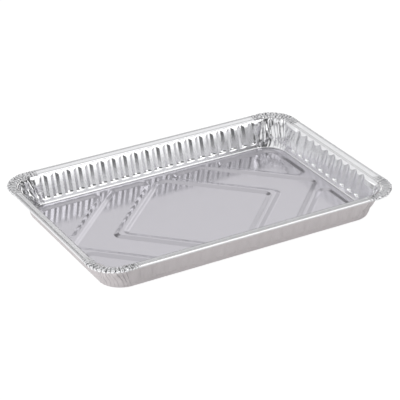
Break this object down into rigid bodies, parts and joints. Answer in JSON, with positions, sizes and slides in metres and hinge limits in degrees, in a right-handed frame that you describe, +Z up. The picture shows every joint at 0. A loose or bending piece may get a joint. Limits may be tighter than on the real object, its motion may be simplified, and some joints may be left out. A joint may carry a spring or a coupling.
{
  "type": "aluminium foil tray",
  "caption": "Shallow rectangular foil tray with fluted flaring walls, pleated round corners, a rolled rim and an embossed floor, for holding food or catching drips.",
  "frame": {"origin": "under the middle of the tray, on the plane that its sunken floor panels stand on", "axes": "+X along the long side, +Y along the short side, +Z up out of the open tray"},
  "size_m": [0.324, 0.223, 0.0318],
  "materials": {
    "foil": "bright rolled foil, satin"
  },
  "bodies": {
    "root": {"foil_tray": "foil"}
  },
  "joints": []
}
